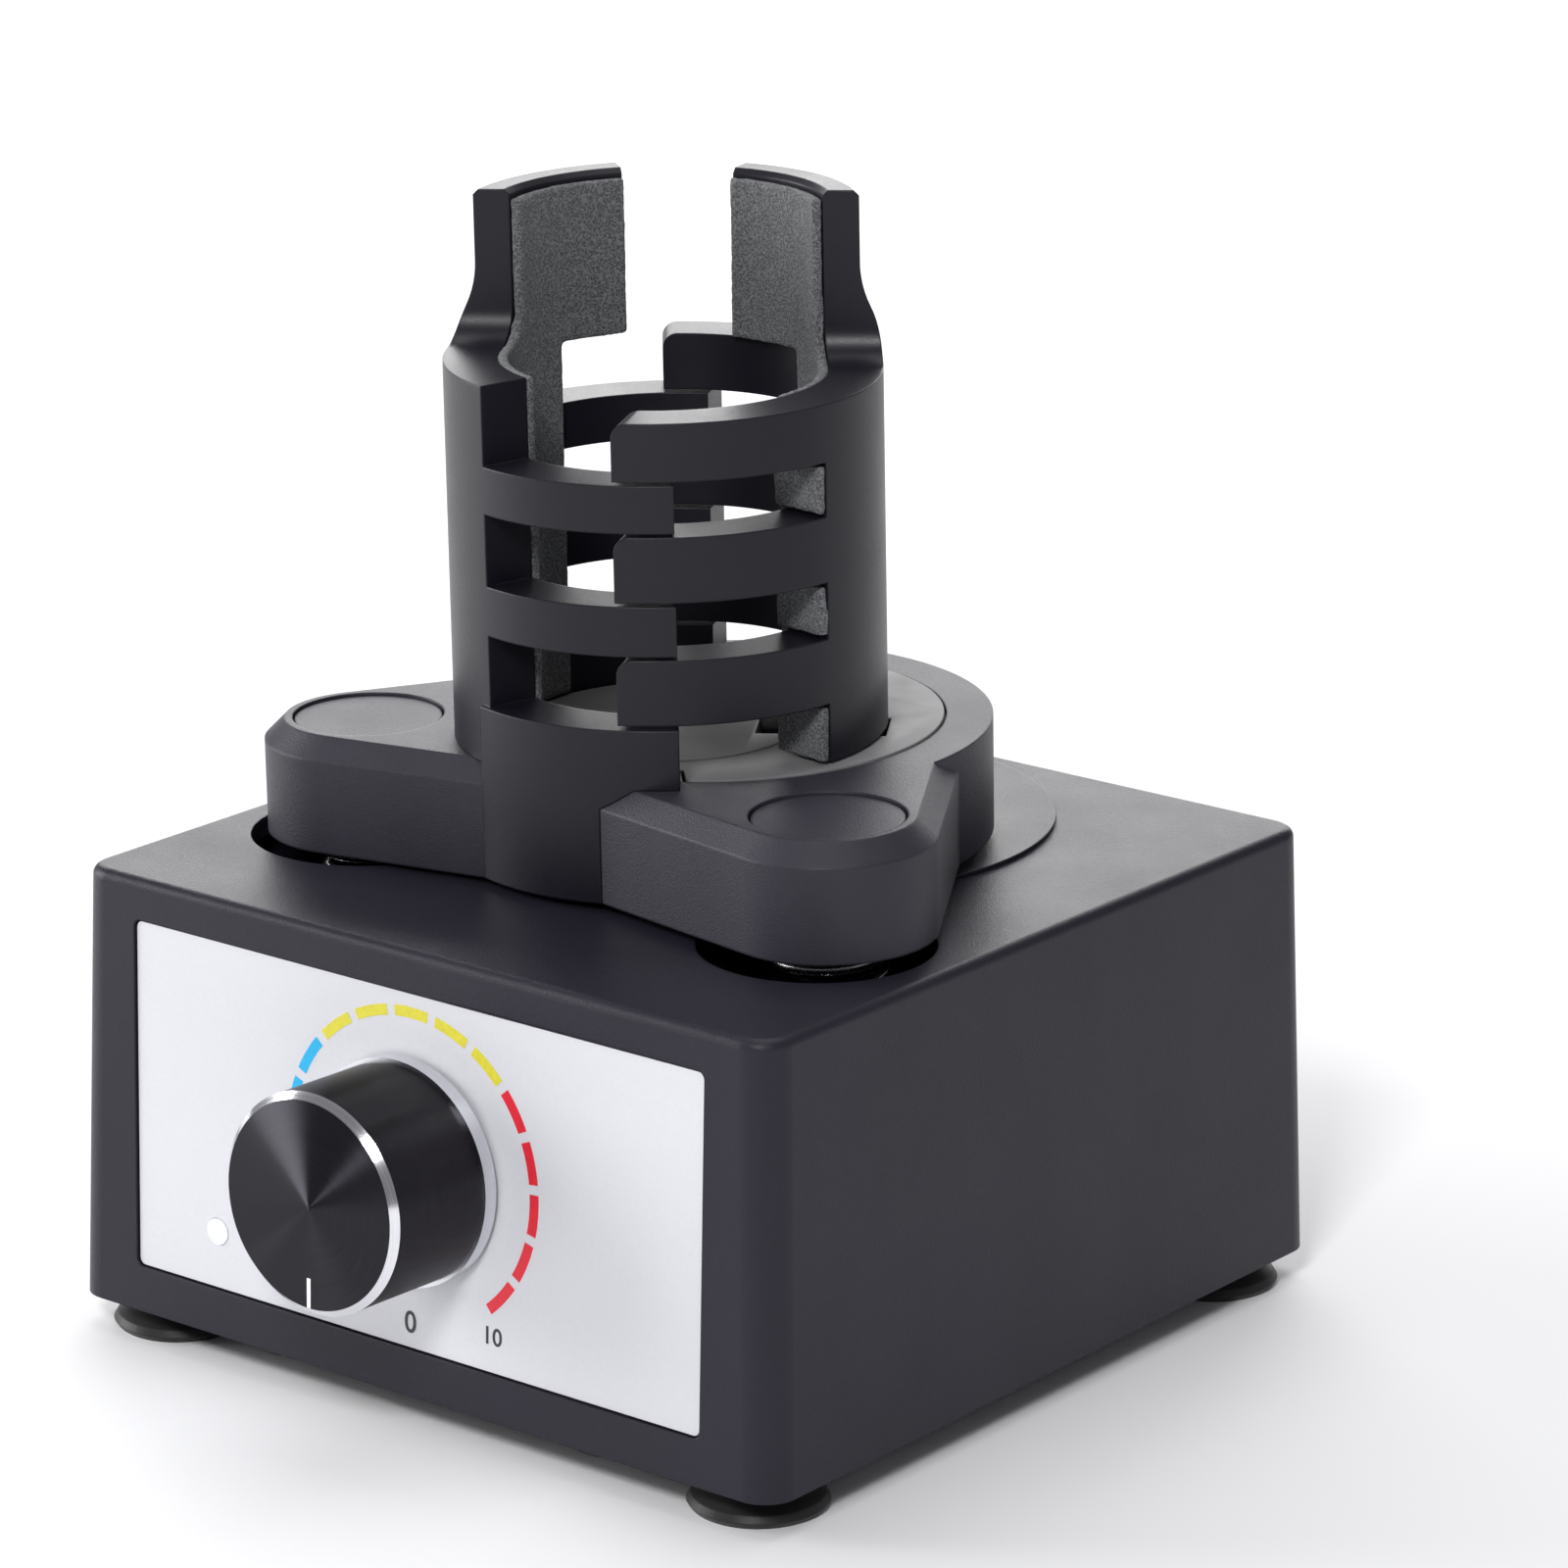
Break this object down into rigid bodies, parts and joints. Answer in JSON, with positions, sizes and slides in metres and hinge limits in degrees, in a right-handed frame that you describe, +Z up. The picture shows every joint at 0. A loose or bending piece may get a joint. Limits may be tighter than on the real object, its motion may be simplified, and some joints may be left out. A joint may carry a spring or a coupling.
{
  "type": "nail polish shaker",
  "caption": "Tabletop shaker: a square housing with a front speed knob rocks a spring-carried platform with a sliding comb clamp that holds a small bottle.",
  "frame": {"origin": "middle of the outline of the whole part at the level of the feet's rims, on the surface it stands on", "axes": "+Z up, +X to the right seen from the front, +Y from the speed knob towards the back"},
  "size_m": [0.105, 0.1202, 0.1339],
  "materials": {
    "charcoal_plastic": "satin",
    "black_plastic": "matte",
    "panel_plastic": "satin",
    "grey_rubber": "matte",
    "black_rubber": "matte",
    "foam_grey": "matte",
    "dark_anodised": "brushed",
    "bright_aluminium": "polished",
    "white_mark": "gloss",
    "lamp_clear": "gloss",
    "steel": "brushed",
    "bearing_steel": "polished",
    "board_green": "matte",
    "brass_part": "satin",
    "magnet_grey": "matte"
  },
  "bodies": {
    "base": {"housing": "charcoal_plastic", "bottom_plate": "black_plastic", "bottom_screws": "steel", "foot_front_left": "black_rubber", "foot_front_right": "black_rubber", "foot_rear_left": "black_rubber", "foot_rear_right": "black_rubber", "front_panel": "panel_plastic", "speed_control": "steel", "control_nut": "steel", "power_lamp": "lamp_clear", "control_board": "board_green", "board_parts": "black_plastic", "power_jack": "black_plastic", "drive_cover": "charcoal_plastic", "motor_screws": "steel", "motor_can": "steel", "motor_magnets": "magnet_grey", "motor_end_cap": "black_plastic", "motor_tags": "brass_part", "spring_left": "steel", "spring_right": "steel"},
    "knob": {"speed_knob": "dark_anodised", "knob_skirt": "bright_aluminium", "knob_pointer": "white_mark", "knob_grub_screw": "steel", "control_shaft": "steel"},
    "crank": {"motor_rotor": "steel", "crank_hub": "steel", "counterweight": "steel", "hub_grub_screw": "steel", "bearing_inner_ring": "bearing_steel", "bearing_balls": "bearing_steel"},
    "platform": {"platform_body": "charcoal_plastic", "platform_mat": "grey_rubber", "spring_cap_left": "charcoal_plastic", "spring_cap_right": "charcoal_plastic", "bearing_carrier": "black_plastic", "carrier_screws": "steel", "bearing_outer_ring": "bearing_steel", "fixed_jaw": "black_plastic", "fixed_jaw_screws": "steel", "foam_fixed": "foam_grey"},
    "jaw": {"sliding_jaw": "black_plastic", "foam_sliding": "foam_grey", "jaw_keeper": "black_plastic", "keeper_screw": "steel"}
  },
  "joints": [
    {"name": "knob_turn", "type": "hinge", "parent": "base", "child": "knob", "pos_m": [0, -0.04317, 0.03139], "axis": [0, 0.9996, -0.027], "range_deg": [0, 315]},
    {"name": "crank_spin", "type": "hinge", "parent": "base", "child": "crank", "pos_m": [0, 0.01339, 0.053], "axis": [0, 0, 1], "continuous": true},
    {"name": "platform_wobble", "type": "hinge", "parent": "crank", "child": "platform", "pos_m": [0, 0.01189, 0.0621], "axis": [-0.0136, -0.0109, 0.9998], "continuous": true, "deforming": ["spring_left", "spring_right"]},
    {"name": "jaw_slide", "type": "slide", "parent": "platform", "child": "jaw", "axis": [-0.8386, -0.5445, -0.0174], "range_m": [0, 0.009]}
  ],
  "couplings": [
    {"joint": "platform_wobble", "follows": "crank_spin", "ratio": -1}
  ]
}
